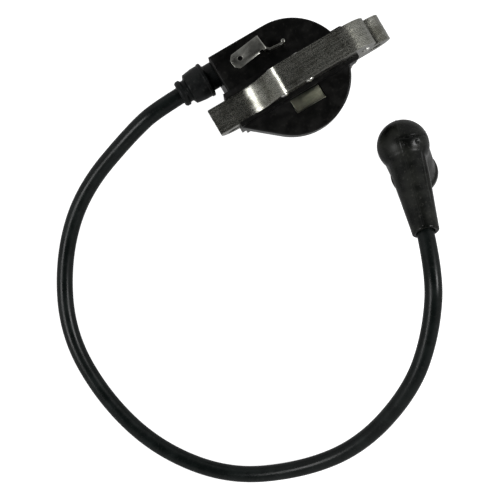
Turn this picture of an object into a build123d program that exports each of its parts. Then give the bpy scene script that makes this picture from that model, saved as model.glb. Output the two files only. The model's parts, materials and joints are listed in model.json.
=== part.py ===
from build123d import *
from math import acos, atan2, cos, pi, radians, sin, sqrt, tan
import os

# Ignition coil of a small four-stroke engine: a laminated core whose centre leg
# carries a potted round coil, with a high-tension lead and an elbow plug boot.
# Millimetres. X runs along the core, Y across its sheets, Z up from the surface
# that the pole tips stand on; the origin is under the middle of the core.

# Laminated core
stack_width = 11.1
end_sheet = 0.6
bar_top = 52.0
bar_underside = 34.0
bar_right = 31.2
bar_right_round = 11.0
ear_tip = -39.8
ear_top = 38.0
ear_bottom = 23.0
ear_root = -24.0
ear_round = 11.0
slope_foot = -20.0
slope_foot_round = 12.0
shoulder = -11.0
shoulder_round = 5.0
centre_leg_x = -3.7
leg_width = 12.0
outer_leg_inside = 17.3
outer_leg_width = 7.0
flywheel_radius = 90.0
lug_radius = 7.0
lug_x = 32.8
lug_z = 28.5
mount_hole_radius = 2.6
ear_hole_x = -34.2
ear_hole_z = 29.8

# Rivets through the stack, as (x, z)
rivet_places = [(-10.9, 46.5), (0.4, 48.0), (27.0, 39.0)]
rivet_shank_radius = 1.2
rivet_head_radius = 1.8
rivet_head_height = 0.8

# Coil housing
puck_radius = 23.5
puck_bottom = 10.0
puck_face = 40.0
rim_bottom = 32.0
body_radius = 20.9
wall = 2.0
face_wall = 3.0
box_left = -28.9
box_right = -12.0
collar_left = -31.3
collar_right = 22.8
collar_half_width = 7.5
collar_top = 42.0
fit_gap = 0.05
trough_floor = 1.5
edge_round = 0.8

# Metal lock plate in a pocket of the puck's face
pocket_x = (-9.6, 3.9)
pocket_y = (-14.0, -7.6)
pocket_depth = 1.6
plate_margin = 0.2
plate_thickness = 1.0
plate_lip = 0.6

# Windings and bobbins round the centre leg
winding_bottom = 12.6
winding_top = 32.4
flange = 1.1
primary_core_radius = 8.9
primary_radius = 12.3
primary_flange_radius = 12.6
secondary_core_radius = 13.7
secondary_radius = 17.8
secondary_flange_radius = 18.2

# Circuit in the square side of the housing
board_x = (-26.6, -20.2)
board_y = (8.4, 20.8)
board_bottom = 22.0
board_thickness = 1.2
circuit_x = (board_x[0] + board_x[1]) / 2
trigger_y = 12.0

# Kill-switch terminal, a quarter-inch spade stamped from thin sheet
tab_width = 6.35
tab_length = 14.6
tab_thickness = 0.8
tab_top = 46.0
tab_hole_from_tip = 3.8
tab_hole_radius = 1.0
tab_turn = 7.0
tab_fold = (-7.9, 17.0)
strap_height = 4.0
strap_line = [(-7.8, 14.7), (-6.4, 13.3), (-1.0, 12.9)]
post_radius = 0.9
post_place = (-0.4, 13.4)

# High-tension lead: its centre line, from inside the housing to inside the boot
lead_diameter = 7.0
conductor_diameter = 1.8
lead_route = [
    (-26, 18.3, 27),
    (-54, 18.3, 27),
    (-69.2, 16.4, 22.7),
    (-102.6, 7.2, 7.5),
    (-124.8, -12.9, 3.5),
    (-139.8, -42.1, 3.5),
    (-140.3, -74.4, 3.5),
    (-131.4, -105.1, 3.5),
    (-111.1, -131.1, 3.5),
    (-81.7, -142.9, 12.2),
    (-54.2, -144, 24.7),
    (-26.2, -131.3, 42.2),
    (-8.6, -114.5, 48.8),
    (5, -92.8, 52.7),
    (13.8, -68, 41.9),
]

# Rubber gland where the lead leaves the housing: (distance from the face, radius)
gland_profile = [
    (-2.0, 4.4),
    (0.0, 4.4),
    (0.0, 5.5),
    (3.6, 5.5),
    (4.1, 7.4),
    (5.3, 7.4),
    (5.6, 7.0),
    (8.2, 7.0),
    (12.4, 6.4),
    (13.2, 4.7),
    (14.3, 4.7),
    (14.8, 5.5),
    (16.3, 5.5),
    (17.0, 4.8),
]

# Elbow plug boot, in its own frame: arm along +X to the lead, socket along -Z
boot_roll = 13.5
head_radius = 10.6
socket_radius = 9.7
rim_radius = 10.2
rim_height = 3.0
socket_bore_radius = 6.5
socket_bore_depth = 18.0
arm_start = 6.0
arm_start_radius = 8.2
arm_end = 39.2
arm_end_radius = 5.4
lead_in_boot = 14.0
lead_running_gap = 0.05
clip_radius = 3.8
clip_wall = 0.6
clip_height = 10.0
spike_radius = 0.8


def box_between(x, y, z):
    """A block from its three (low, high) spans."""
    size = (x[1] - x[0], y[1] - y[0], z[1] - z[0])
    middle = Pos((x[0] + x[1]) / 2, (y[0] + y[1]) / 2, (z[0] + z[1]) / 2)
    return middle * Box(*size)


def disc(radius, bottom, top, x=centre_leg_x, y=0.0):
    """An upright round block between two heights."""
    return Pos(x, y, bottom) * extrude(Circle(radius), top - bottom)


def ring(outer, inner, bottom, top, x=centre_leg_x, y=0.0):
    """An upright tube between two heights."""
    return disc(outer, bottom, top, x, y) - disc(inner, bottom, top, x, y)


def rounded(sketch, x, y, radius):
    """The sketch with the corner nearest (x, y) rounded."""
    corner = sketch.vertices().sort_by_distance((x, y, 0))[0]
    return fillet(corner, radius)


def across(sketch, near, far):
    """A sketch of the core's side, drawn in X and Z, made solid from one Y to another."""
    return Pos(0, near, 0) * extrude(Plane.XZ * sketch, -(far - near))


# --- core ---
leg_left = centre_leg_x - leg_width / 2
leg_right = centre_leg_x + leg_width / 2
outer_leg_outside = outer_leg_inside + outer_leg_width
lug_underside = lug_z - lug_radius
half_stack = stack_width / 2


def core_side():
    """One lamination's outline: bar, ear, lug and two legs with flywheel-shaped pole faces."""
    corners = [
        (ear_tip, ear_top),
        (slope_foot, ear_top),
        (shoulder, bar_top),
        (bar_right, bar_top),
        (bar_right, lug_z),
        (lug_x, lug_z),
        (lug_x, lug_underside),
        (outer_leg_outside, lug_underside),
        (outer_leg_outside, 0),
        (outer_leg_inside, 0),
        (outer_leg_inside, bar_underside),
        (leg_right, bar_underside),
        (leg_right, 0),
        (leg_left, 0),
        (leg_left, bar_underside),
        (ear_root, bar_underside),
        (ear_root, ear_bottom),
        (ear_tip, ear_bottom),
    ]
    side = Sketch() + make_face(Polyline(*corners, close=True))
    side = rounded(side, slope_foot, ear_top, slope_foot_round)
    side = rounded(side, shoulder, bar_top, shoulder_round)
    side = rounded(side, bar_right, bar_top, bar_right_round)
    side = rounded(side, ear_tip, ear_bottom, ear_round)
    side += Pos(lug_x, lug_z) * Circle(lug_radius)
    pole_half_span = (outer_leg_outside - leg_left) / 2
    flywheel_x = (outer_leg_outside + leg_left) / 2
    flywheel_z = -sqrt(flywheel_radius**2 - pole_half_span**2)
    side -= Pos(flywheel_x, flywheel_z) * Circle(flywheel_radius)
    for x, z in [(ear_hole_x, ear_hole_z), (lug_x, lug_z)]:
        side -= Pos(x, z) * Circle(mount_hole_radius)
    for x, z in rivet_places:
        side -= Pos(x, z) * Circle(rivet_shank_radius)
    return side


def core_end_sheets(side):
    near = across(side, -half_stack, -half_stack + end_sheet)
    far = across(side, half_stack - end_sheet, half_stack)
    return Compound(children=[near, far])


def core_rivets():
    rivets = []
    for x, z in rivet_places:
        shank = across(Pos(x, z) * Circle(rivet_shank_radius), -half_stack, half_stack)
        head = Pos(x, z) * Circle(rivet_head_radius)
        near = across(head, -half_stack - rivet_head_height, -half_stack)
        far = across(head, half_stack, half_stack + rivet_head_height)
        rivets.append(shank + near + far)
    return Compound(children=rivets)


# --- housing ---
def rim_plan():
    """Round rim with a square upper-left corner and a straight lower-left flank."""
    corner = Vector(collar_left, -collar_half_width)
    to_corner = corner - Vector(centre_leg_x, 0)
    turn = atan2(to_corner.Y, to_corner.X) + acos(puck_radius / to_corner.length)
    tangent = (centre_leg_x + puck_radius * cos(turn), puck_radius * sin(turn))
    flank = [
        (centre_leg_x, puck_radius),
        (box_left, puck_radius),
        (box_left, collar_half_width),
        (collar_left, collar_half_width),
        (collar_left, -collar_half_width),
        tangent,
        (centre_leg_x, 0),
    ]
    return Pos(centre_leg_x, 0) * Circle(puck_radius) + make_face(Polyline(*flank, close=True))


def body_plan():
    """Narrower round body below the rim, with the square side that holds the circuit."""
    size = (box_right - box_left, puck_radius + collar_half_width)
    middle = Pos((box_left + box_right) / 2, (puck_radius - collar_half_width) / 2)
    return Pos(centre_leg_x, 0) * Circle(body_radius) + middle * Rectangle(*size)


def trough():
    """The space that the core takes in the housing, with its fitting gap."""
    y = (-half_stack - fit_gap, half_stack + fit_gap)
    over = collar_top + 1
    bar = box_between((collar_left - 1, collar_right + 1), y, (bar_underside - fit_gap, over))
    ear = box_between((collar_left - 1, ear_root + fit_gap), y, (ear_bottom - fit_gap, over))
    leg = box_between((leg_left - fit_gap, leg_right + fit_gap), y, (0, over))
    outer = box_between((outer_leg_inside - fit_gap, collar_right + 1), y, (0, over))
    return bar + ear + leg + outer


def coil_housing(rim, body):
    top = extrude(rim, puck_face - rim_bottom)
    top = fillet(top.faces().sort_by(Axis.Z)[-1].edges(), edge_round)
    shell = Pos(0, 0, rim_bottom) * top
    shell += Pos(0, 0, puck_bottom) * extrude(body, rim_bottom - puck_bottom)
    bed_bottom = ear_bottom - fit_gap - trough_floor
    collar_y = (-collar_half_width, collar_half_width)
    collar = box_between((collar_left, collar_right), collar_y, (rim_bottom, collar_top))
    nose = collar.edges().filter_by(Axis.Z).group_by(Axis.X)[-1]
    collar = fillet(nose, 1.1)
    shell += collar
    ear_x = (collar_left, ear_root + fit_gap + trough_floor)
    shell += box_between(ear_x, collar_y, (bed_bottom, rim_bottom))
    inside = offset(body, -wall)
    cavity = Pos(0, 0, puck_bottom) * extrude(inside, puck_face - face_wall - puck_bottom)
    floor_z = (bar_underside - fit_gap - trough_floor, collar_top)
    bed = box_between((collar_left, collar_right), collar_y, floor_z)
    ear_bed = box_between(ear_x, collar_y, (bed_bottom, collar_top))
    shell -= cavity - bed - ear_bed
    shell -= trough()
    shell -= box_between(pocket_x, pocket_y, (puck_face - pocket_depth, puck_face + 1))
    gland_hole = Rot(0, -90, 0) * Cylinder(gland_profile[0][1], 3 * wall)
    shell -= Pos(box_left + wall / 2, lead_route[0][1], lead_route[0][2]) * gland_hole
    return shell


def potting_resin(body):
    floor = Pos(0, 0, puck_bottom + 0.5) * extrude(offset(body, -wall), 2.0)
    return floor - trough()


def core_lock_plate():
    """A small pressed plate with a turned-up lip on its two outer edges."""
    x = (pocket_x[0] + plate_margin, pocket_x[1] - plate_margin)
    y = (pocket_y[0] + plate_margin, pocket_y[1] - plate_margin)
    bottom = puck_face - pocket_depth
    top = bottom + plate_thickness
    plate = box_between(x, y, (bottom, top))
    plate += box_between((x[0], x[0] + 0.5), y, (bottom, top + plate_lip))
    plate += box_between(x, (y[0], y[0] + 0.5), (bottom, top + plate_lip))
    return plate


# --- windings ---
def bobbin(core_radius, flange_radius, hole):
    """A spool with a flange at each end, and a hole of the given shape."""
    spool = disc(core_radius, winding_bottom, winding_top)
    for bottom in (winding_bottom, winding_top - flange):
        spool += disc(flange_radius, bottom, bottom + flange)
    return spool - hole


def primary_bobbin():
    leg = Box(leg_width + 4 * fit_gap, stack_width + 4 * fit_gap, 2 * winding_top)
    return bobbin(primary_core_radius, primary_flange_radius, Pos(centre_leg_x, 0, 0) * leg)


def secondary_bobbin():
    hole = disc(primary_flange_radius + fit_gap, 0, winding_top + 1)
    return bobbin(secondary_core_radius, secondary_flange_radius, hole)


def winding(inner, outer):
    return ring(outer, inner, winding_bottom + flange, winding_top - flange)


# --- circuit ---
def lying_cylinder(radius, length, y, z):
    return Pos(circuit_x, y, z) * Rot(0, 90, 0) * Cylinder(radius, length)


def circuit_parts():
    board_top = board_bottom + board_thickness
    board = box_between(board_x, board_y, (board_bottom, board_top))
    capacitor = box_between((-26.4, -21.2), (8.8, 13.8), (board_top, 31.0))
    thyristor = box_between((-25.6, -21.2), (15.4, 18.6), (17.4, board_bottom))
    diodes = [lying_cylinder(1.1, 4.6, y, 14.2) for y in (16.4, 19.4)]
    coil_x = circuit_x
    core = Pos(coil_x, trigger_y, 17.0) * Cylinder(1.0, 8.4)
    spool = ring(1.6, 1.0, 12.8, 21.2, coil_x, trigger_y)
    for bottom in (12.8, 20.4):
        spool += ring(2.9, 1.0, bottom, bottom + 0.8, coil_x, trigger_y)
    return {
        "circuit_board": board,
        "storage_capacitor": fillet(capacitor.edges().filter_by(Axis.Z), 0.8),
        "thyristor": fillet(thyristor.edges().filter_by(Axis.Z), 0.4),
        "rectifier_diodes": Compound(children=diodes),
        "bleed_resistor": lying_cylinder(0.9, 4.6, 20.0, 20.8),
        "trigger_core": core,
        "trigger_bobbin": spool,
        "trigger_winding": ring(2.6, 1.6, 13.6, 20.4, coil_x, trigger_y),
    }


# --- kill-switch terminal ---
def kill_terminal():
    """The flat spade, folded down into the face, and the strap standing on edge beside it."""
    blade = Pos(-tab_length / 2, 0) * Rectangle(tab_length, tab_width)
    tip_corners = blade.vertices().group_by(Axis.X)[0]
    blade = chamfer(tip_corners, 1.7)
    blade = fillet(blade.vertices().group_by(Axis.X)[0], 0.9)
    blade -= Pos(tab_hole_from_tip - tab_length, 0) * Circle(tab_hole_radius)
    blade -= Pos(-2.4, -tab_width / 2) * Rectangle(1.8, 1.6)
    blade = extrude(blade, tab_thickness)
    drop = tab_top - puck_face + pocket_depth
    fold = Pos(-tab_thickness / 2, 0, tab_thickness - drop / 2) * Box(tab_thickness, tab_width, drop)
    spade = blade + fold
    spade = fillet(spade.edges().filter_by(Axis.Y).sort_by(Axis.Z)[-1], 0.5)
    spade = Pos(*tab_fold, tab_top - tab_thickness) * Rot(0, 0, tab_turn) * spade
    strap = extrude(trace(Polyline(*strap_line), tab_thickness), strap_height)
    return spade + Pos(0, 0, puck_face) * strap


def terminal_post():
    post = Cylinder(post_radius, strap_height + 2.0)
    post = chamfer(post.edges().sort_by(Axis.Z)[-1], 0.3)
    top = puck_face + strap_height + 0.5
    return Pos(*post_place, top - (strap_height + 2.0) / 2) * post


# --- lead ---
def corner_radii(points):
    """For each corner, the radius that takes 0.45 of its shorter run on each side."""
    radii = []
    for before, here, after in zip(points, points[1:], points[2:]):
        run_in = here - before
        run_out = after - here
        half_turn = radians(run_in.get_angle(run_out)) / 2
        radii.append(0.45 * min(run_in.length, run_out.length) / tan(half_turn))
    return radii


lead_points = [Vector(*point) for point in lead_route]
lead_radii = corner_radii(lead_points)
lead_path = FilletPolyline(*lead_points, radius=lead_radii)


def cord(radius):
    start = Plane(lead_path @ 0, z_dir=lead_path % 0)
    return sweep(start * Circle(radius), path=lead_path)


def lead_gland():
    """Stepped rubber sleeve turned about the lead's axis."""
    bore = lead_diameter / 2
    first = gland_profile[0][0]
    last = gland_profile[-1][0]
    outline = [(first, bore), *gland_profile, (last, bore)]
    section = make_face(Polyline(*outline, close=True))
    sleeve = revolve(section, Axis.X)
    return Pos(box_left, lead_route[0][1], lead_route[0][2]) * Rot(0, 0, 180) * sleeve


def ht_terminal_pin():
    length = 5.0
    pin = Rot(0, 90, 0) * Cylinder(conductor_diameter / 2, length)
    x, y, z = lead_route[0]
    return Pos(x + length / 2, y, z) * pin


# --- boot ---
arm_direction = (lead_points[-2] - lead_points[-1]).normalized()
elbow = lead_points[-1] - arm_direction * (arm_end - lead_in_boot)
upright = Vector(0, 0, 1) - arm_direction * arm_direction.Z
boot_up = upright.rotate(Axis((0, 0, 0), arm_direction), boot_roll).normalized()
boot_frame = Plane(elbow, x_dir=arm_direction, z_dir=boot_up)
lean = sqrt(1 - boot_up.Z**2)
socket_length = (elbow.Z - rim_radius * lean) / boot_up.Z


def plug_boot():
    """Round head over the socket, tapering arm to the lead, hollow from mouth to lead."""
    mouth = -socket_length
    body = Sphere(head_radius)
    body += Pos(0, 0, mouth / 2) * Cylinder(socket_radius, socket_length)
    body += Pos(0, 0, mouth + rim_height / 2) * Cylinder(rim_radius, rim_height)
    arm_length = arm_end - arm_start
    arm = Cone(arm_start_radius, arm_end_radius, arm_length)
    body += Pos(arm_start + arm_length / 2, 0, 0) * Rot(0, 90, 0) * arm
    bore_top = mouth + socket_bore_depth
    body -= Pos(0, 0, mouth + socket_bore_depth / 2) * Cylinder(socket_bore_radius, socket_bore_depth)
    chamber = 2.0 - bore_top
    body -= Pos(0, 0, bore_top + chamber / 2) * Cylinder(clip_radius, chamber)
    lead_bore = lead_diameter / 2 + lead_running_gap
    body -= Pos(arm_end - lead_in_boot / 2, 0, 0) * Rot(0, 90, 0) * Cylinder(lead_bore, lead_in_boot)
    spike_length = arm_end - lead_in_boot
    body -= Pos(spike_length / 2, 0, 0) * Rot(0, 90, 0) * Cylinder(spike_radius, spike_length)
    return boot_frame * body


def boot_terminal():
    """Split spring-steel sleeve that snaps on the plug's top nut."""
    top = 1.8
    inner = clip_radius - clip_wall
    sleeve = ring(clip_radius, inner, top - clip_height, top, 0)
    sleeve += ring(clip_radius, 0.5, top - clip_wall, top, 0)
    sleeve -= box_between((-clip_radius - 1, 0), (-0.7, 0.7), (top - clip_height - 1, top - 2))
    return boot_frame * sleeve


def terminal_spike():
    start = clip_radius
    length = arm_end - lead_in_boot - 0.1 - start
    spike = Rot(0, 90, 0) * Cylinder(spike_radius, length)
    return boot_frame * (Pos(start + length / 2, 0, 0) * spike)


# --- all the nodes ---
side = core_side()
body = body_plan()
conductor = cord(conductor_diameter / 2)
jacket = cord(lead_diameter / 2) - conductor
nodes = {
    "core_stack": across(side, -half_stack + end_sheet, half_stack - end_sheet),
    "core_end_sheets": core_end_sheets(side),
    "core_rivets": core_rivets(),
    "coil_housing": coil_housing(rim_plan(), body),
    "potting_resin": potting_resin(body),
    "core_lock_plate": core_lock_plate(),
    "primary_bobbin": primary_bobbin(),
    "primary_winding": winding(primary_core_radius, primary_radius),
    "secondary_bobbin": secondary_bobbin(),
    "secondary_winding": winding(secondary_core_radius, secondary_radius),
    **circuit_parts(),
    "kill_terminal": kill_terminal() - terminal_post(),
    "terminal_post": terminal_post(),
    "ht_terminal_pin": ht_terminal_pin(),
    "lead_gland": lead_gland(),
    "ht_lead": jacket,
    "lead_conductor": conductor,
    "plug_boot": plug_boot(),
    "boot_terminal": boot_terminal(),
    "terminal_spike": terminal_spike(),
}

os.makedirs("parts", exist_ok=True)
for name, shape in nodes.items():
    export_step(shape, f"parts/{name}.step")

section = pi * (lead_diameter**2 - conductor_diameter**2) / 4
print("lead radii", [round(radius, 1) for radius in lead_radii])
print("lead length", round(lead_path.length, 1))
print("lead volume over section times length", round(jacket.volume / (section * lead_path.length), 4))
print("elbow", elbow, "arm direction", arm_direction, "socket length", round(socket_length, 2))
print("boot up", boot_up)
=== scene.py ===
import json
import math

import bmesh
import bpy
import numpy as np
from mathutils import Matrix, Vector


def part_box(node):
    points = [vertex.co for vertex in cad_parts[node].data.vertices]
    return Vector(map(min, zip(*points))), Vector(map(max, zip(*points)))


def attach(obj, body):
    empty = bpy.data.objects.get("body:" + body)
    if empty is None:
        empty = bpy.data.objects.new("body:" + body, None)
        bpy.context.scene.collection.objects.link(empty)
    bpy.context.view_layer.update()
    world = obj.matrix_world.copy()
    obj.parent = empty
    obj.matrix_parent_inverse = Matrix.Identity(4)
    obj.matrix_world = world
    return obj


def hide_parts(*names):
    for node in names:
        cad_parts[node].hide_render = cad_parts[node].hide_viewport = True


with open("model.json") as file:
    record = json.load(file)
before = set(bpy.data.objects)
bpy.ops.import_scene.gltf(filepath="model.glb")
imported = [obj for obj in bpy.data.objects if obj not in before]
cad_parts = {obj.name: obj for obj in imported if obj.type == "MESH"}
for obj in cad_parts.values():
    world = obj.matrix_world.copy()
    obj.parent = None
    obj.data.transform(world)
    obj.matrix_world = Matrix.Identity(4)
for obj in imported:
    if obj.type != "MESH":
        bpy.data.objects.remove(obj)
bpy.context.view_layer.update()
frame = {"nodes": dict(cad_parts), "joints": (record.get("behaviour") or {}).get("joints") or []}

# %% [markdown]
# An ignition coil turns the sweep of a flywheel magnet into a spark. Its parts here are a stack of
# thin steel sheets, a black round housing full of windings and resin, a spade terminal for the stop
# switch, and a thick lead that ends in a rubber elbow boot. The engineering model is already loaded.
# Places and sizes below are read from it or repeat its values. The finishes, the lights and the
# small marks on the boot are given below.

MM = 0.001


# %% [markdown]
# The view looks straight down from 450 mm, so the top of the core, 52 mm up, looks about an eighth
# larger than the same length on the floor. The camera is rolled so that the core climbs to the
# upper right.

# %% The camera
CAMERA_PLACE = (-53.3 * MM, -51.1 * MM, 450 * MM)
CAMERA_ROLL = math.radians(-30.4)
LENS = 74.2

camera = bpy.data.objects.new("camera", bpy.data.cameras.new("camera"))
camera.data.lens = LENS
camera.data.sensor_width = 36
camera.data.clip_start = 0.01
camera.location = CAMERA_PLACE
camera.rotation_euler = (0, 0, CAMERA_ROLL)
bpy.context.scene.collection.objects.link(camera)
bpy.context.scene.camera = camera
print("camera height in mm", CAMERA_PLACE[2] / MM)

# %% [markdown]
# Black rubber shows almost nothing but what it reflects, so the surroundings matter more than the
# lamps. The sky is dark overhead and bright towards the horizon: flat metal that looks up stays
# dark, and round shoulders catch the bright ring. The floor glows only where the camera sees it, so
# it is pale in the picture and dim in reflections, and it is clear from below. Two small area
# lights add the sharper shine.


# %% Floor and lights
def material(name):
    """A new node material and its Principled shader."""
    made = bpy.data.materials.new(name)
    made.use_nodes = True
    return made, made.node_tree.nodes["Principled BSDF"]


def floor_material():
    """White to the camera, darker in reflections, and clear from below to show the underside."""
    made, shader = material("studio_floor")
    shader.inputs["Base Color"].default_value = (0.42, 0.42, 0.42, 1)
    shader.inputs["Roughness"].default_value = 0.9
    shader.inputs["Emission Color"].default_value = (1, 1, 1, 1)
    seen = made.node_tree.nodes.new("ShaderNodeLightPath").outputs["Is Camera Ray"]
    glow = made.node_tree.nodes.new("ShaderNodeMapRange")
    made.node_tree.links.new(seen, glow.inputs["Value"])
    glow.inputs["To Min"].default_value = 0.05
    glow.inputs["To Max"].default_value = 0.86
    made.node_tree.links.new(glow.outputs["Result"], shader.inputs["Emission Strength"])
    behind = made.node_tree.nodes.new("ShaderNodeNewGeometry").outputs["Backfacing"]
    clear = made.node_tree.nodes.new("ShaderNodeBsdfTransparent").outputs["BSDF"]
    one_sided = made.node_tree.nodes.new("ShaderNodeMixShader")
    for position, socket in enumerate((behind, shader.outputs["BSDF"], clear)):
        made.node_tree.links.new(socket, one_sided.inputs[position])
    surface = made.node_tree.nodes["Material Output"].inputs["Surface"]
    made.node_tree.links.new(one_sided.outputs["Shader"], surface)
    return made


def floor(half=3.0):
    """One square sheet at the level that the part stands on."""
    mesh = bpy.data.meshes.new("floor")
    corners = [(-half, -half, 0), (half, -half, 0), (half, half, 0), (-half, half, 0)]
    mesh.from_pydata(corners, [], [(0, 1, 2, 3)])
    mesh.materials.append(floor_material())
    sheet = bpy.data.objects.new("floor", mesh)
    bpy.context.scene.collection.objects.link(sheet)
    return sheet


def panel(name, place, aim, size, watts):
    """A square area light at place, turned to face aim."""
    light = bpy.data.lights.new(name, "AREA")
    light.shape = "SQUARE"
    light.size = size
    light.energy = watts
    lamp = bpy.data.objects.new(name, light)
    lamp.location = place
    lamp.rotation_euler = (Vector(aim) - Vector(place)).to_track_quat("-Z", "Y").to_euler()
    bpy.context.scene.collection.objects.link(lamp)
    return lamp


def sky():
    """Dim above about 70 degrees up, and bright below about 27, with a smooth passage between.

    Incoming points back along the ray, so its Z is minus the sine of the ray's elevation."""
    world = bpy.data.worlds.new("studio")
    world.use_nodes = True
    tree = world.node_tree
    toward = tree.nodes.new("ShaderNodeNewGeometry").outputs["Incoming"]
    split = tree.nodes.new("ShaderNodeSeparateXYZ")
    tree.links.new(toward, split.inputs["Vector"])
    fade = tree.nodes.new("ShaderNodeMapRange")
    fade.interpolation_type = "SMOOTHSTEP"
    tree.links.new(split.outputs["Z"], fade.inputs["Value"])
    settings = {"From Min": -0.94, "From Max": -0.45, "To Min": 0.035, "To Max": 0.80}
    for title, number in settings.items():
        fade.inputs[title].default_value = number
    tree.links.new(fade.outputs["Result"], tree.nodes["Background"].inputs["Strength"])
    tree.nodes["Background"].inputs["Color"].default_value = (1, 1, 1, 1)
    return world


floor()
panel("light_left", (-0.75, 0.15, 0.75), (0, 0, 0.03), 0.35, 5.5)
panel("light_right", (0.7, -0.35, 0.8), (0, -0.05, 0.03), 0.28, 8.0)
bpy.context.scene.world = sky()
bpy.context.scene.view_settings.view_transform = "Standard"

# %% [markdown]
# The lead is one length of 7 mm cable. Its centre line is a NURBS spline: the points below pull the
# line towards them without touching it, which gives the even bends of a stiff cable.

# %% The high-tension lead
LEAD_DIAMETER = 7.0 * MM
LEAD_ROUTE = [
    (-26, 18.3, 27),
    (-54, 18.3, 27),
    (-69.2, 16.4, 22.7),
    (-102.6, 7.2, 7.5),
    (-124.8, -12.9, 3.5),
    (-139.8, -42.1, 3.5),
    (-140.3, -74.4, 3.5),
    (-131.4, -105.1, 3.5),
    (-111.1, -131.1, 3.5),
    (-81.7, -142.9, 12.2),
    (-54.2, -144, 24.7),
    (-26.2, -131.3, 42.2),
    (-8.6, -114.5, 48.8),
    (5, -92.8, 52.7),
    (13.8, -68, 41.9),
]


def lead_curve():
    """A round tube along the spline of the route: each point's radius times the bevel depth of 1."""
    data = bpy.data.curves.new("high_tension_lead", "CURVE")
    data.dimensions = "3D"
    data.resolution_u = 24
    data.bevel_depth = 1.0
    data.bevel_resolution = 10
    data.use_fill_caps = True
    spline = data.splines.new("NURBS")
    spline.points.add(len(LEAD_ROUTE) - 1)
    for point, place in zip(spline.points, LEAD_ROUTE):
        point.co = (*(value * MM for value in place), 1)
        point.radius = LEAD_DIAMETER / 2
    spline.order_u = 3
    spline.use_endpoint_u = True
    lead = bpy.data.objects.new("high_tension_lead", data)
    bpy.context.scene.collection.objects.link(lead)
    return lead


lead = lead_curve()
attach(lead, "coil")
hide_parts("ht_lead", "lead_conductor")
print("lead points", len(LEAD_ROUTE))

# %% [markdown]
# Most shapes here are one of two kinds: a closed outline that is carried across a thickness, or a
# profile that is turned about an axis. Both are a grid of points, so a few small helpers make them
# all. The first rounds the corners of a line with true arcs.


# %% Helpers for lines and grids
def rounded_line(corners, radii, closed=True, steps=8):
    """Each corner becomes an arc that touches both sides: its centre is on the bisector, at the
    radius over the sine of half the corner's angle, and its points turn evenly about that centre."""
    corners = np.asarray(corners, float)
    pieces = []
    for i, radius in enumerate(radii):
        here = corners[i]
        if radius == 0:
            pieces.append(here[None])
            continue
        back = corners[i - 1] - here
        ahead = corners[(i + 1) % len(corners)] - here
        back /= np.linalg.norm(back)
        ahead /= np.linalg.norm(ahead)
        half = math.acos(float(np.clip(back @ ahead, -1, 1))) / 2
        middle = (back + ahead) / np.linalg.norm(back + ahead)
        centre = here + middle * radius / math.sin(half)
        start = here + back * radius / math.tan(half) - centre
        end = here + ahead * radius / math.tan(half) - centre
        turn = math.pi - 2 * half
        share = np.linspace(0, 1, steps)[:, None]
        spread = np.sin((1 - share) * turn) * start + np.sin(share * turn) * end
        pieces.append(centre + spread / math.sin(turn))
    return np.vstack(pieces)


def circle(centre, radius, start=0.0, end=360.0, steps=32):
    """Points at the radius from the centre, from one angle to another, in degrees."""
    angle = np.radians(np.linspace(start, end, steps, endpoint=abs(end - start) < 360))
    return np.stack([centre[0] + radius * np.cos(angle), centre[1] + radius * np.sin(angle)], -1)


def grid_faces(rows, columns, wrap_rows, wrap_columns, first=0):
    """The four-sided faces of a grid of points, numbered row by row."""
    index = first + np.arange(rows * columns).reshape(rows, columns)
    if wrap_rows:
        index = np.vstack([index, index[:1]])
    if wrap_columns:
        index = np.hstack([index, index[:, :1]])
    corners = [index[:-1, :-1], index[:-1, 1:], index[1:, 1:], index[1:, :-1]]
    return np.stack(corners, -1).reshape(-1, 4)


def lathe(profile, steps=64):
    """A profile of (radius, height) turned about Z: x is r cos t, y is r sin t, z is the height."""
    angle = np.linspace(0, 2 * np.pi, steps, endpoint=False)
    radius, height = np.asarray(profile, float).T
    x = radius[:, None] * np.cos(angle)
    y = radius[:, None] * np.sin(angle)
    z = np.repeat(height[:, None], steps, 1)
    return np.stack([x, y, z], -1)


print("rounded square has", len(rounded_line([(0, 0), (1, 0), (1, 1), (0, 1)], [0.1] * 4)), "points")


# %% Helpers for meshes and pieces
def mesh_of(name, points, faces):
    """A mesh with its doubled points merged and its faces turned outwards."""
    mesh = bpy.data.meshes.new(name)
    mesh.from_pydata((np.asarray(points).reshape(-1, 3) * MM).tolist(), [], np.asarray(faces).tolist())
    work = bmesh.new()
    work.from_mesh(mesh)
    bmesh.ops.remove_doubles(work, verts=work.verts, dist=1e-7)
    bmesh.ops.recalc_face_normals(work, faces=work.faces)
    work.to_mesh(mesh)
    work.free()
    return mesh


def smooth(mesh, angle=35):
    """Smooth shading, with edges sharper than the angle left crisp."""
    mesh.shade_smooth()
    mesh.set_sharp_from_angle(angle=math.radians(angle))
    return mesh


def piece(mesh, body, slot, finish, *nodes):
    """The mesh as an object that rides on a body and stands for the named nodes."""
    made = bpy.data.objects.new(mesh.name, mesh)
    mesh.materials.clear()
    mesh.materials.append(finish)
    bpy.context.scene.collection.objects.link(made)
    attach(made, body)
    if nodes:
        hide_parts(*nodes)
    return made


def applied(made):
    """The object's mesh with its modifiers worked in and taken off."""
    graph = bpy.context.evaluated_depsgraph_get()
    mesh = bpy.data.meshes.new_from_object(made.evaluated_get(graph))
    made.modifiers.clear()
    made.data = mesh
    return mesh


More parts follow.
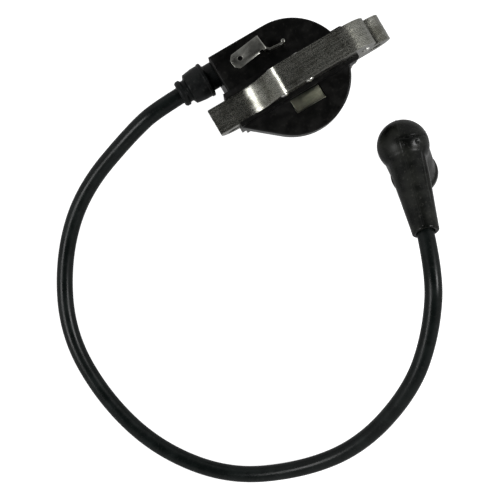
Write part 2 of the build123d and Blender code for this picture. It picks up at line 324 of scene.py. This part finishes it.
def softened(node, name, width, angle=32, segments=2):
    """A merged copy of a CAD node whose sharp edges carry a small round."""
    copy = frame["nodes"][node].data.copy()
    work = bmesh.new()
    work.from_mesh(copy)
    bmesh.ops.remove_doubles(work, verts=work.verts, dist=2e-6)
    bmesh.ops.dissolve_limit(
        work, angle_limit=math.radians(0.6), verts=work.verts, edges=work.edges
    )
    work.to_mesh(copy)
    work.free()
    made = bpy.data.objects.new(name, copy)
    bpy.context.scene.collection.objects.link(made)
    bevel = made.modifiers.new("edge_round", "BEVEL")
    bevel.width = width * MM
    bevel.segments = segments
    bevel.limit_method = "ANGLE"
    bevel.angle_limit = math.radians(angle)
    bevel.use_clamp_overlap = True
    mesh = applied(made)
    bpy.data.objects.remove(made)
    bpy.data.meshes.remove(copy)
    mesh.name = name
    return smooth(mesh)


# %% [markdown]
# Real surfaces are never one flat value. Three small node groups carry what the finishes share:
# a fine grain in the surface, long faint scratches, and pale dust that settles on faces that look up.
# Each puts out masks and heights, and the shader itself stays in each material.


# %% Shared effects
def new_group(name, inputs, outputs):
    """A node group with number sockets; returns its tree and its two end nodes."""
    tree = bpy.data.node_groups.new(name, "ShaderNodeTree")
    for title, value in inputs.items():
        socket = tree.interface.new_socket(title, in_out="INPUT", socket_type="NodeSocketFloat")
        socket.default_value = value
    for title in outputs:
        tree.interface.new_socket(title, in_out="OUTPUT", socket_type="NodeSocketFloat")
    return tree, tree.nodes.new("NodeGroupInput"), tree.nodes.new("NodeGroupOutput")


def math_node(tree, operation, first, second=None):
    """A Math node whose inputs are sockets or numbers."""
    node = tree.nodes.new("ShaderNodeMath")
    node.operation = operation
    for place, value in enumerate((first, second)):
        if value is None:
            continue
        if isinstance(value, (int, float)):
            node.inputs[place].default_value = value
        else:
            tree.links.new(value, node.inputs[place])
    return node.outputs[0]


def ramp(tree, value, low, high):
    """0 below low and 1 above high, with a soft passage between."""
    node = tree.nodes.new("ShaderNodeMapRange")
    node.interpolation_type = "SMOOTHSTEP"
    tree.links.new(value, node.inputs["Value"])
    for title, number in (("From Min", low), ("From Max", high)):
        if isinstance(number, (int, float)):
            node.inputs[title].default_value = number
        else:
            tree.links.new(number, node.inputs[title])
    return node.outputs["Result"]


def noise(tree, scale, detail=3.0, stretch=None):
    """Noise on Object coordinates, in lumps per metre, stretched along the axes if asked."""
    place = tree.nodes.new("ShaderNodeTexCoord").outputs["Object"]
    if stretch:
        turn = tree.nodes.new("ShaderNodeMapping")
        turn.inputs["Scale"].default_value = stretch
        tree.links.new(place, turn.inputs["Vector"])
        place = turn.outputs["Vector"]
    node = tree.nodes.new("ShaderNodeTexNoise")
    tree.links.new(place, node.inputs["Vector"])
    if isinstance(scale, (int, float)):
        node.inputs["Scale"].default_value = scale
    else:
        tree.links.new(scale, node.inputs["Scale"])
    node.inputs["Detail"].default_value = detail
    return node.outputs["Fac"]


def grain_group():
    """Height is fine noise; Tone is noise 1 / 0.06 or about 17 times wider, for patches of wear."""
    tree, start, end = new_group("fine_grain", {"Scale": 3000.0}, ["Height", "Tone"])
    tree.links.new(noise(tree, start.outputs["Scale"], 4), end.inputs["Height"])
    wide = math_node(tree, "MULTIPLY", start.outputs["Scale"], 0.06)
    tree.links.new(noise(tree, wide, 5), end.inputs["Tone"])
    return tree


def scratch_group():
    """Long thin streaks: noise squeezed 9 or 12 times across its run, cut above its middle value."""
    tree, start, end = new_group("scratches", {"Amount": 0.5}, ["Mask"])
    along = noise(tree, 260.0, 6, (1, 12, 0.4))
    across = noise(tree, 330.0, 6, (0.5, 9, 1))
    both = math_node(tree, "MAXIMUM", ramp(tree, along, 0.60, 0.68), ramp(tree, across, 0.62, 0.70))
    tree.links.new(math_node(tree, "MULTIPLY", both, start.outputs["Amount"]), end.inputs["Mask"])
    return tree


def dust_group():
    """Specks where the normal looks up: full above a Z of 0.95, none below 0.3, times cut noise."""
    tree, start, end = new_group("dust", {"Amount": 0.5, "Scale": 900.0}, ["Mask"])
    normal = tree.nodes.new("ShaderNodeNewGeometry").outputs["Normal"]
    parts = tree.nodes.new("ShaderNodeSeparateXYZ")
    tree.links.new(normal, parts.inputs["Vector"])
    upward = ramp(tree, parts.outputs["Z"], 0.3, 0.95)
    specks = ramp(tree, noise(tree, start.outputs["Scale"], 8), 0.56, 0.72)
    both = math_node(tree, "MULTIPLY", upward, specks)
    tree.links.new(math_node(tree, "MULTIPLY", both, start.outputs["Amount"]), end.inputs["Mask"])
    return tree


GRAIN = grain_group()
SCRATCHES = scratch_group()
DUST = dust_group()
print("groups", [GRAIN.name, SCRATCHES.name, DUST.name])


# %% Helpers for materials
def effect(tree, group, **values):
    """One of the shared groups placed in a material, with its own values."""
    node = tree.nodes.new("ShaderNodeGroup")
    node.node_tree = group
    for title, value in values.items():
        node.inputs[title.capitalize()].default_value = value
    return node.outputs


def mixed(tree, share, low, high):
    """Low where share is 0 and high where it is 1, for numbers or for colours."""
    node = tree.nodes.new("ShaderNodeMix")
    colour = isinstance(low, tuple) or isinstance(high, tuple)
    node.data_type = "RGBA" if colour else "FLOAT"
    first, second, out = ("A_Color", "B_Color", 2) if colour else ("A_Float", "B_Float", 0)
    by_name = {socket.identifier: socket for socket in node.inputs}
    tree.links.new(share, by_name["Factor_Float"])
    for title, value in ((first, low), (second, high)):
        if isinstance(value, tuple):
            by_name[title].default_value = (*value, 1)
        elif isinstance(value, (int, float)):
            by_name[title].default_value = value
        else:
            tree.links.new(value, by_name[title])
    return node.outputs[out]


def bumped(tree, shader, height, distance):
    """The height as a Bump on the shader's normal, where a height of 1 stands distance metres out."""
    bump = tree.nodes.new("ShaderNodeBump")
    bump.inputs["Distance"].default_value = distance
    bump.inputs["Strength"].default_value = 1.0
    tree.links.new(height, bump.inputs["Height"])
    tree.links.new(bump.outputs["Normal"], shader.inputs["Normal"])


def rubber(name, dark, pale, rough, grain, depth, dust_amount):
    """Rubber, plastic or resin: two close tones, a grained skin, and a little dust."""
    made, shader = material(name)
    tree = made.node_tree
    skin = effect(tree, GRAIN, scale=grain)
    dusty = effect(tree, DUST, amount=dust_amount)["Mask"]
    tone = ramp(tree, skin["Tone"], 0.35, 0.7)
    colour = mixed(tree, tone, dark, pale)
    tree.links.new(mixed(tree, dusty, colour, (0.32, 0.31, 0.28)), shader.inputs["Base Color"])
    roughness = mixed(tree, tone, rough[0], rough[1])
    tree.links.new(mixed(tree, dusty, roughness, 0.85), shader.inputs["Roughness"])
    bumped(tree, shader, skin["Height"], depth)
    shader.inputs["Specular IOR Level"].default_value = 0.3
    shader.inputs["IOR"].default_value = 1.3
    return made


def metal(name, dark, pale, rough, grain, depth, scratch):
    """Bare metal: mottled tone, grain, and brighter scratches that are a little smoother."""
    made, shader = material(name)
    tree = made.node_tree
    skin = effect(tree, GRAIN, scale=grain)
    lines = effect(tree, SCRATCHES, amount=scratch)["Mask"]
    tone = ramp(tree, skin["Tone"], 0.3, 0.75)
    colour = mixed(tree, tone, dark, pale)
    bright = tuple(min(1.0, value * 1.5) for value in pale)
    tree.links.new(mixed(tree, lines, colour, bright), shader.inputs["Base Color"])
    roughness = mixed(tree, tone, rough[0], rough[1])
    tree.links.new(mixed(tree, lines, roughness, rough[0] * 0.8), shader.inputs["Roughness"])
    bumped(tree, shader, skin["Height"], depth)
    shader.inputs["Metallic"].default_value = 1.0
    return made


# %% [markdown]
# The core is punched from silicon steel about 0.6 mm thick. The sheet's colour comes
# from an attribute, one value per sheet, so that each edge differs a little from its neighbours.


# %% Finishes
def lamination_material():
    """Steel whose tone follows the sheet, with fine grain along the sheared edge."""
    made, shader = material("silicon_steel")
    tree = made.node_tree
    sheet = tree.nodes.new("ShaderNodeAttribute")
    sheet.attribute_name = "sheet_tone"
    skin = effect(tree, GRAIN, scale=2600.0)
    lines = effect(tree, SCRATCHES, amount=0.35)["Mask"]
    base = mixed(tree, sheet.outputs["Fac"], (0.15, 0.155, 0.135), (0.25, 0.25, 0.225))
    speckle = ramp(tree, skin["Height"], 0.42, 0.66)
    mottled = mixed(tree, speckle, base, (0.34, 0.335, 0.3))
    dull = ramp(tree, skin["Tone"], 0.45, 0.72)
    tarnished = mixed(tree, dull, mottled, (0.13, 0.128, 0.108))
    tree.links.new(mixed(tree, lines, tarnished, (0.6, 0.6, 0.56)), shader.inputs["Base Color"])
    tree.links.new(mixed(tree, speckle, 0.25, 0.37), shader.inputs["Roughness"])
    bumped(tree, shader, skin["Height"], 0.00001)
    shader.inputs["Metallic"].default_value = 1.0
    return made


STEEL = lamination_material()
METALS = {
    # dark and pale tone, roughness range, grain scale, grain depth in metres, scratches
    "rivet_steel": ((0.5, 0.5, 0.47), (0.66, 0.66, 0.63), (0.25, 0.4), 2500, 1e-5, 0.4),
    "lock_plate_steel": ((0.075, 0.078, 0.06), (0.15, 0.15, 0.12), (0.28, 0.4), 3500, 2e-5, 0.3),
    "tinned_brass": ((0.22, 0.22, 0.2), (0.34, 0.34, 0.31), (0.26, 0.38), 3000, 1.5e-5, 0.5),
    "spring_steel": ((0.4, 0.4, 0.4), (0.55, 0.55, 0.54), (0.22, 0.35), 2500, 1e-5, 0.5),
    "enamelled_copper": ((0.42, 0.13, 0.05), (0.62, 0.24, 0.1), (0.2, 0.34), 2500, 1e-5, 0.0),
}
RUBBERS = {
    # dark and pale tone, roughness range, grain scale, grain depth in metres, dust
    "housing_nylon": ((0.002, 0.002, 0.0019), (0.0045, 0.0044, 0.004), (0.28, 0.40), 3800, 2e-5, 0.02),
    "gland_rubber": ((0.003, 0.0033, 0.0033), (0.006, 0.0068, 0.0068), (0.3, 0.44), 3000, 2e-5, 0.04),
    "lead_jacket": ((0.0025, 0.0036, 0.0034), (0.0055, 0.0075, 0.007), (0.24, 0.34), 2400, 1e-5, 0.02),
    "boot_rubber": ((0.0022, 0.0026, 0.0022), (0.011, 0.0118, 0.0098), (0.22, 0.40), 2600, 3e-5, 0.05),
    "potting_resin": ((0.006, 0.005, 0.0045), (0.012, 0.010, 0.009), (0.12, 0.25), 700, 3e-5, 0.08),
    "bobbin_nylon": ((0.6, 0.57, 0.48), (0.7, 0.67, 0.58), (0.4, 0.5), 3000, 1e-5, 0.0),
    "board_laminate": ((0.02, 0.11, 0.045), (0.03, 0.15, 0.06), (0.25, 0.35), 3000, 1e-5, 0.0),
    "capacitor_dip": ((0.42, 0.13, 0.02), (0.5, 0.17, 0.03), (0.15, 0.25), 1500, 2e-5, 0.0),
    "component_epoxy": ((0.01, 0.01, 0.01), (0.016, 0.016, 0.016), (0.4, 0.5), 4000, 1e-5, 0.0),
    "resistor_lacquer": ((0.38, 0.28, 0.15), (0.45, 0.34, 0.2), (0.3, 0.4), 3000, 1e-5, 0.0),
}
RIVET, PLATE, TINNED, SPRING, COPPER = [metal(name, *look) for name, look in METALS.items()]
finishes = [rubber(name, *look) for name, look in RUBBERS.items()]
HOUSING, GLAND, JACKET, BOOT, RESIN, BOBBIN, BOARD, CAPACITOR, EPOXY, RESISTOR = finishes
print("finishes", len(bpy.data.materials))


# %% [markdown]
# The hidden parts keep the shapes of the engineering model. They still get real finishes, because
# each is a piece of its own that can be shown by itself.


# %% Finishes on the engineering model's own parts
NODE_FINISH = {
    "primary_bobbin": BOBBIN,
    "secondary_bobbin": BOBBIN,
    "trigger_bobbin": BOBBIN,
    "primary_winding": COPPER,
    "secondary_winding": COPPER,
    "trigger_winding": COPPER,
    "circuit_board": BOARD,
    "storage_capacitor": CAPACITOR,
    "thyristor": EPOXY,
    "rectifier_diodes": EPOXY,
    "bleed_resistor": RESISTOR,
    "trigger_core": RIVET,
    "ht_terminal_pin": TINNED,
    "terminal_spike": SPRING,
}
for node, finish in NODE_FINISH.items():
    mesh = frame["nodes"][node].data
    mesh.materials.clear()
    mesh.materials.append(finish)
lead.data.materials.append(JACKET)
print("finished nodes", len(NODE_FINISH))

# %% [markdown]
# The core's outline is a flat bar with an S-shaped step down to the mounting ear on the left, a
# large round on the right with a lug below it, and two legs whose ends follow the flywheel. It is
# one closed line, and each sheet is that line carried across the sheet's thickness.

# %% The outline of one sheet
SHEETS = 18
STACK = 11.1
LEG_LEFT, LEG_RIGHT = -9.7, 2.3
OUTER_LEFT, OUTER_RIGHT = 17.3, 24.3
BAR_TOP, BAR_UNDER = 52.0, 34.0
EAR_TIP, EAR_TOP, EAR_BOTTOM, EAR_ROOT = -39.8, 38.0, 23.0, -24.0
LUG, LUG_RADIUS = (32.8, 28.5), 7.0
FLYWHEEL_RADIUS = 90.0
HOLES = [(-34.2, 29.8), LUG]
HOLE_RADIUS = 2.6
SLOPE_FOOT, SLOPE_RADIUS = -20.0, 12.0
SHOULDER, SHOULDER_RADIUS = -11.0, 5.0
BAR_RIGHT, ROUND_RADIUS = 31.2, 11.0


def pole_face(right, left):
    """The flywheel's arc between two x values: z is the centre's height plus the circle's rise."""
    middle = (OUTER_RIGHT + LEG_LEFT) / 2
    centre = -math.sqrt(FLYWHEEL_RADIUS**2 - ((OUTER_RIGHT - LEG_LEFT) / 2) ** 2)
    x = np.linspace(right, left, 7)
    return np.stack([x, centre + np.sqrt(FLYWHEEL_RADIUS**2 - (x - middle) ** 2)], -1)


def core_outline():
    """The outline, clockwise: bar, right round, lug, outer leg, centre leg, ear."""
    top_angle = 180 - math.degrees(math.acos((LUG[0] - BAR_RIGHT) / LUG_RADIUS))
    lug = circle(LUG, LUG_RADIUS, top_angle, -90, 36)
    inner_corner = [(OUTER_RIGHT, LUG[1] - LUG_RADIUS)]
    start = [
        (EAR_TIP, EAR_TOP),
        (SLOPE_FOOT, EAR_TOP),
        (SHOULDER, BAR_TOP),
        (BAR_RIGHT, BAR_TOP),
        lug[0],
    ]
    upper = rounded_line(start, [0, SLOPE_RADIUS, SHOULDER_RADIUS, ROUND_RADIUS, 0], False, 20)
    under = [(OUTER_LEFT, BAR_UNDER), (LEG_RIGHT, BAR_UNDER)]
    left = [
        (LEG_LEFT, BAR_UNDER),
        (EAR_ROOT, BAR_UNDER),
        (EAR_ROOT, EAR_BOTTOM),
        (EAR_TIP, EAR_BOTTOM),
        (EAR_TIP, EAR_TOP),
    ]
    lower = rounded_line(left, [0, 0, 0, ROUND_RADIUS, 0], False, 20)[:-1]
    outer_pole = pole_face(OUTER_RIGHT, OUTER_LEFT)
    centre_pole = pole_face(LEG_RIGHT, LEG_LEFT)
    return np.vstack([upper, lug[1:], inner_corner, outer_pole, under, centre_pole, lower])


outline = core_outline()
print("outline points", len(outline), "span", np.ptp(outline, 0).round(2).tolist())

# %% [markdown]
# Punching leaves each edge a little rounded, so every sheet gets a narrow chamfer, and in a real
# stack no two sheets line up exactly. The small offsets come from a seeded random generator.


# %% The stack of sheets
CHAMFER = 0.09
SLIP = 0.035
STEEL_SHARE = 0.985


def inset(loop, depth):
    """Every point moved into the steel, square to the line through its neighbours.

    The outline runs clockwise and the holes the other way, so one formula serves both."""
    along = np.roll(loop, -1, 0) - np.roll(loop, 1, 0)
    along /= np.linalg.norm(along, axis=1, keepdims=True)
    return loop + depth * np.stack([along[:, 1], -along[:, 0]], -1)


def sheet_rings(loop, low, high, chamfer):
    """Four copies of the loop across the thickness; the outer two are drawn in by the chamfer."""
    rings = []
    for y, depth in ((low, chamfer), (low + chamfer, 0), (high - chamfer, 0), (high, chamfer)):
        ring = inset(loop, depth)
        rings.append(np.stack([ring[:, 0], np.full(len(ring), y), ring[:, 1]], -1))
    return np.stack(rings)


def one_sheet(low, high, slip):
    """A closed sheet: the carried loops, then both sides filled round the holes."""
    loops = [outline + slip] + [circle(hole, HOLE_RADIUS, 0, 360, 36) + slip for hole in HOLES]
    work = bmesh.new()
    for loop in loops:
        rings = sheet_rings(loop, low, high, CHAMFER)
        points = [work.verts.new(point * MM) for point in rings.reshape(-1, 3)]
        for face in grid_faces(4, len(loop), False, True):
            work.faces.new([points[i] for i in face])
    for side in (low, high):
        rim = [e for e in work.edges if all(abs(v.co.y - side * MM) < 1e-8 for v in e.verts)]
        bmesh.ops.triangle_fill(work, edges=rim, use_beauty=True)
    bmesh.ops.recalc_face_normals(work, faces=work.faces)
    mesh = bpy.data.meshes.new("sheet")
    work.to_mesh(mesh)
    work.free()
    return mesh


def core_sheets():
    """All sheets side by side in one mesh, each with its own tone."""
    random = np.random.default_rng(7)
    thickness = STACK / SHEETS
    work = bmesh.new()
    tones = []
    for i in range(SHEETS):
        low = -STACK / 2 + i * thickness
        slip = random.uniform(-SLIP, SLIP, 2)
        mesh = one_sheet(low, low + thickness * STEEL_SHARE, slip)
        work.from_mesh(mesh)
        tones += [random.uniform(0, 1)] * len(mesh.polygons)
        bpy.data.meshes.remove(mesh)
    mesh = bpy.data.meshes.new("core_sheets")
    work.to_mesh(mesh)
    work.free()
    mesh.attributes.new("sheet_tone", "FLOAT", "FACE").data.foreach_set("value", tones)
    return smooth(mesh, 40)


core = piece(core_sheets(), "coil", "lamination_steel", STEEL, "core_stack", "core_end_sheets")
print("core triangles", sum(len(face.vertices) - 2 for face in core.data.polygons))


# %% [markdown]
# Three rivets hold the stack together. A rivet head is a low dome: a quarter ellipse turned about
# the rivet's axis, with a small flat foot against the sheet.


# %% Rivets
RIVET_PLACES = [(-10.9, 46.5), (0.4, 48.0), (27.0, 39.0)]
HEAD_RADIUS, SHANK_RADIUS = 1.8, 1.15
HEAD_FOOT, HEAD_RISE = 0.05, 0.72


def rivet_mesh():
    """Each end is r cos t across and a low rise of sin t; the shank joins the two ends."""
    turn = np.linspace(np.pi / 2, 0, 10)
    rise = STACK / 2 + HEAD_FOOT + HEAD_RISE * np.sin(turn)
    dome = np.stack([HEAD_RADIUS * np.cos(turn), rise], -1)
    foot = np.array([(HEAD_RADIUS, STACK / 2), (SHANK_RADIUS, STACK / 2)])
    half = np.vstack([dome, foot])
    profile = np.vstack([half, half[::-1] * (1, -1)])
    turned = lathe(profile, 40)
    lying = np.stack([turned[..., 0], turned[..., 2], turned[..., 1]], -1)
    points = np.stack([lying + (x, 0, z) for x, z in RIVET_PLACES])
    rows, columns = lying.shape[:2]
    faces = [grid_faces(rows, columns, False, True, i * rows * columns) for i in range(len(points))]
    return smooth(mesh_of("core_rivet_set", points, np.vstack(faces)))


piece(rivet_mesh(), "coil", "rivet_steel", RIVET, "core_rivets")
print("rivets", len(RIVET_PLACES))

# %% [markdown]
# The moulded and pressed parts have the right shape already, but a real mould or press leaves no
# knife edge. A merged copy of each gets a small bevel, which is what catches the light.

# %% Housing, plate, terminal and resin
SOFTENED = [
    ("coil_housing", "moulded_housing", 0.25, "housing_plastic", HOUSING),
    ("core_lock_plate", "pressed_lock_plate", 0.12, "plate_steel", PLATE),
    ("kill_terminal", "spade_terminal", 0.12, "tinned_brass", TINNED),
    ("terminal_post", "soldered_post", 0.15, "tinned_brass", TINNED),
    ("potting_resin", "cast_resin", 0.2, "potting_resin", RESIN),
]
for node, name, width, slot, finish in SOFTENED:
    piece(softened(node, name, width), "coil", slot, finish, node)
clip_mesh = softened("boot_terminal", "snap_terminal", 0.1)
clip = piece(clip_mesh, "boot", "spring_steel", SPRING, "boot_terminal")
print("softened", [row[1] for row in SOFTENED])

# %% [markdown]
# The gland is a rubber sleeve that keeps the lead from bending sharply where it leaves the
# housing. It is turned from a stepped profile with rounded corners.

# %% The gland
GLAND_LOW, GLAND_HIGH = (np.array(corner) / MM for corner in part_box("lead_gland"))
GLAND_AXIS = (GLAND_LOW + GLAND_HIGH) / 2
GLAND_EMBEDDED = 2.0
GLAND_STEPS = [
    (3.5, -2.0, 0), (4.4, -2.0, 0), (4.4, 0.02, 0), (5.5, 0.02, 0.2), (5.5, 3.6, 0.5),
    (7.4, 4.1, 0.5), (7.4, 5.3, 0.15), (7.0, 5.6, 0.2), (7.0, 8.2, 2.0), (6.4, 12.4, 0.5),
    (4.7, 13.2, 0.4), (4.7, 14.3, 0.3), (5.5, 14.8, 0.3), (5.5, 16.3, 0.5), (4.8, 17.0, 0.3),
    (3.5, 17.0, 0),
]


def gland_mesh():
    """The rounded profile turned about the lead's axis, with x measured from the housing's face."""
    steps = np.array(GLAND_STEPS)
    profile = rounded_line(steps[:, :2], steps[:, 2], False, 7)
    turned = lathe(profile, 72)
    face = GLAND_HIGH[0] - GLAND_EMBEDDED
    x = face - turned[..., 2]
    y = GLAND_AXIS[1] + turned[..., 0]
    z = GLAND_AXIS[2] + turned[..., 1]
    faces = grid_faces(*x.shape, True, True)
    return smooth(mesh_of("rubber_gland", np.stack([x, y, z], -1), faces))


gland = piece(gland_mesh(), "coil", "gland_rubber", GLAND, "lead_gland")
print("gland length in mm", round(float(GLAND_HIGH[0] - GLAND_LOW[0]), 2))

# %% [markdown]
# The boot is one rubber moulding: a round head over a straight socket, and an arm that tapers to
# the lead. The head with its socket is a turned shape and the arm is another; they are joined and
# remeshed so that the skin flows from one to the other.

# %% The boot's own axes
BOOT_ROLL = 13.5
BOOT_JOINT = next(joint for joint in frame["joints"] if joint["name"] == "boot_swivel")
ELBOW = np.array(BOOT_JOINT["pos_m"]) / MM
ARM_AXIS = np.array(BOOT_JOINT["axis"]) / np.linalg.norm(BOOT_JOINT["axis"])


def boot_axes():
    """Arm, side and up: up is the vertical made square to the arm, then turned by the roll."""
    level = np.array([0, 0, 1]) - ARM_AXIS * ARM_AXIS[2]
    level /= np.linalg.norm(level)
    sideways = np.cross(ARM_AXIS, level)
    roll = math.radians(BOOT_ROLL)
    up = math.cos(roll) * level + math.sin(roll) * sideways
    return np.stack([ARM_AXIS, np.cross(up, ARM_AXIS), up])


BOOT_AXES = boot_axes()
RIM_RADIUS = 10.2
LEAN = math.sqrt(1 - BOOT_AXES[2][2] ** 2)
SOCKET_LENGTH = (ELBOW[2] - RIM_RADIUS * LEAN) / BOOT_AXES[2][2]
print("boot up", BOOT_AXES[2].round(3).tolist())


# %% Head, socket and arm
def socket_profile():
    """Bore, mouth rim, outer wall and dome, as (radius, height) about the socket's axis."""
    mouth = -SOCKET_LENGTH
    corners = [
        (3.8, 2.0, 0), (3.8, mouth + 18, 0.3), (6.5, mouth + 18, 0.3), (6.5, mouth + 7.4, 0.2),
        (6.15, mouth + 6.8, 0.25), (6.15, mouth + 5.9, 0.25), (6.5, mouth + 5.3, 0.2),
        (6.5, mouth + 1.2, 0.6), (7.1, mouth, 0.4), (RIM_RADIUS, mouth, 0.7),
        (RIM_RADIUS, mouth + 3.0, 0.6),
        (9.5, mouth + 3.9, 0.6), (9.7, -6.0, 3.0), (10.55, -1.5, 0),
    ]
    steps = np.array(corners)
    wall = rounded_line(steps[:, :2], steps[:, 2], False, 6)
    dome = circle((0, 0), 10.6, 0, 90, 26)
    return np.vstack([[(0, 2.0)], wall, dome])


def arm_profile():
    """Lead bore, end face and tapering wall, as (radius, distance) about the arm's axis."""
    corners = [
        (3.55, 25.2, 0), (3.55, 38.6, 0.3), (4.0, 39.2, 0.2), (5.4, 39.1, 0.5), (5.6, 36.0, 2.0),
        (7.35, 17.5, 6.0), (8.3, 7.0, 2.0), (8.3, 4.4, 0),
    ]
    steps = np.array(corners)
    wall = rounded_line(steps[:, :2], steps[:, 2], False, 6)
    return np.vstack([[(0, 25.2)], wall, [(0, 4.4)]])


def arm_points():
    """The profile turned about the arm, flattened a little at the sides towards the head."""
    turned = lathe(arm_profile(), 96)
    far = np.clip((turned[..., 2] - 6) / 26, 0, 1)
    outside = np.hypot(turned[..., 0], turned[..., 1]) > 3.7
    slim = np.where(outside, 1 - 0.05 * (1 - far), 1.0)
    return np.stack([turned[..., 2], turned[..., 0] * slim, turned[..., 1]], -1)


def in_part_frame(points):
    """Points of the boot's own frame, moved into the frame of the whole part."""
    return points @ BOOT_AXES + ELBOW


def turned_mesh(name, points):
    """A turned shape in the boot's own frame, as a mesh in the frame of the whole part."""
    rows, columns = points.shape[:2]
    return mesh_of(name, in_part_frame(points), grid_faces(rows, columns, False, True))


head_mesh = turned_mesh("boot_head", lathe(socket_profile(), 96))
arm_mesh = turned_mesh("boot_arm", arm_points())
print("boot parts", len(head_mesh.vertices), len(arm_mesh.vertices))

# %% [markdown]
# A union keeps the crease between head and arm, and a moulding has none. Remeshing with small
# voxels and a few rounds of smoothing turn the crease into a fillet and leave the rims in place.


# %% One skin for the boot
def boot_skin():
    """The union of head and arm, remeshed in voxels of 0.3 mm."""
    head = bpy.data.objects.new("boot_head", head_mesh)
    arm = bpy.data.objects.new("boot_arm", arm_mesh)
    for part in (head, arm):
        bpy.context.scene.collection.objects.link(part)
    union = head.modifiers.new("union", "BOOLEAN")
    union.object = arm
    union.operation = "UNION"
    union.solver = "EXACT"
    remesh = head.modifiers.new("remesh", "REMESH")
    remesh.mode = "VOXEL"
    remesh.voxel_size = 0.3 * MM
    mesh = applied(head)
    bpy.data.objects.remove(arm)
    bpy.data.objects.remove(head)
    mesh.name = "elbow_boot"
    return mesh


def boot_local(mesh):
    """The mesh's points in the boot's own frame, in millimetres."""
    flat = np.empty(len(mesh.vertices) * 3, np.float32)
    mesh.vertices.foreach_get("co", flat)
    return (flat.reshape(-1, 3) / MM - ELBOW) @ BOOT_AXES.T


def bell(distance, width):
    """One at zero distance, falling smoothly to nothing beyond about twice the width."""
    return np.exp(-((distance / width) ** 2))


def crease_weight(points):
    """0.12 everywhere, and up to 0.5 more beside the crease, 8 mm along the arm and off its axis."""
    along, side, up = points.T
    return 0.12 + 0.5 * bell(along - 8.0, 4.0) * (np.hypot(side, up) > 5.5) * (up > -12)


def relax(mesh, points, weight, rounds):
    """Each round moves a point towards the mean of its neighbours, by its own weight."""
    edges = np.empty(len(mesh.edges) * 2, np.int32)
    mesh.edges.foreach_get("vertices", edges)
    first, second = edges.reshape(-1, 2).T
    count = np.bincount(edges, minlength=len(points))[:, None]
    for _ in range(rounds):
        total = np.zeros_like(points)
        np.add.at(total, first, points[second])
        np.add.at(total, second, points[first])
        points = points + weight[:, None] * (total / count - points)
    return points


boot_mesh = boot_skin()
local = boot_local(boot_mesh)
local = relax(boot_mesh, local, crease_weight(local), 14)
print("boot points", len(local))

# %% [markdown]
# The mould's halves met in the plane that holds both axes, so a fine ridge runs round the boot
# there. The head also has a shallow slit and two small dimples, and the arm has two low ribs on one
# side with a groove between them.


# %% Mould marks on the boot
MARKS_TURN = math.radians(-30.4)
MARKS_RIGHT = np.array([math.cos(MARKS_TURN), math.sin(MARKS_TURN), 0])
MARKS_UP = np.array([-math.sin(MARKS_TURN), math.cos(MARKS_TURN), 0])
DIMPLES = [(-0.6, -0.5), (4.4, 0.9)]
RIBS = [(50, 5.0, 0.38), (60, 4.0, -0.40), (70, 5.0, 0.32)]


def boot_marks(points):
    """How far each point stands out: ridge, slit, dimples, ribs and groove added together.

    The slit and dimples are placed in a level plane turned by MARKS_TURN. Each rib is a bell in
    the angle round the arm, as (degrees, width, height), and a negative height is the groove."""
    along, side, up = points.T
    outside = np.hypot(side, up) > 4.6
    ridge = (0.14 + 0.16 * (along > 9)) * bell(side, 0.32)
    ridge = ridge * (np.abs(along) < 38) * outside * (up > -10)
    level = points @ BOOT_AXES
    right = level @ MARKS_RIGHT
    high = level @ MARKS_UP
    on_head = (up > 4) & (along < 6.5)
    slit_line = high - 2.9 - 0.16 * (right - 2.4)
    slit_reach = np.clip(1.6 - np.abs(right - 2.6) / 4.2, 0, 1)
    slit = -0.8 * bell(slit_line, 0.36) * slit_reach * on_head
    dimples = sum(-0.35 * bell(np.hypot(right - x, high - y), 0.75) for x, y in DIMPLES) * on_head
    angle = np.degrees(np.arctan2(side, up))
    ribs = sum(height * bell(angle - place, width) for place, width, height in RIBS)
    ribs = ribs * bell(along - 17.0, 8.0) * outside * (along > 5)
    return ridge + slit + dimples + ribs


def place_boot(mesh, points):
    """Moves the points out along the mesh's normals by the marks, and puts them in the mesh."""
    placed = in_part_frame(points) * MM
    mesh.vertices.foreach_set("co", placed.astype(np.float32).ravel())
    mesh.update()
    normals = np.empty(len(mesh.vertices) * 3, np.float32)
    mesh.vertex_normals.foreach_get("vector", normals)
    placed = placed + normals.reshape(-1, 3) * boot_marks(points)[:, None] * MM
    mesh.vertices.foreach_set("co", placed.astype(np.float32).ravel())
    mesh.update()
    return smooth(mesh, 60)


boot = piece(place_boot(boot_mesh, local), "boot", "boot_rubber", BOOT, "plug_boot")
print("boot triangles", sum(len(face.vertices) - 2 for face in boot.data.polygons))

# %% [markdown]
# The lead is built above as a tube along its spline, and nothing more is added to it.

# %% The end
print("end of script")
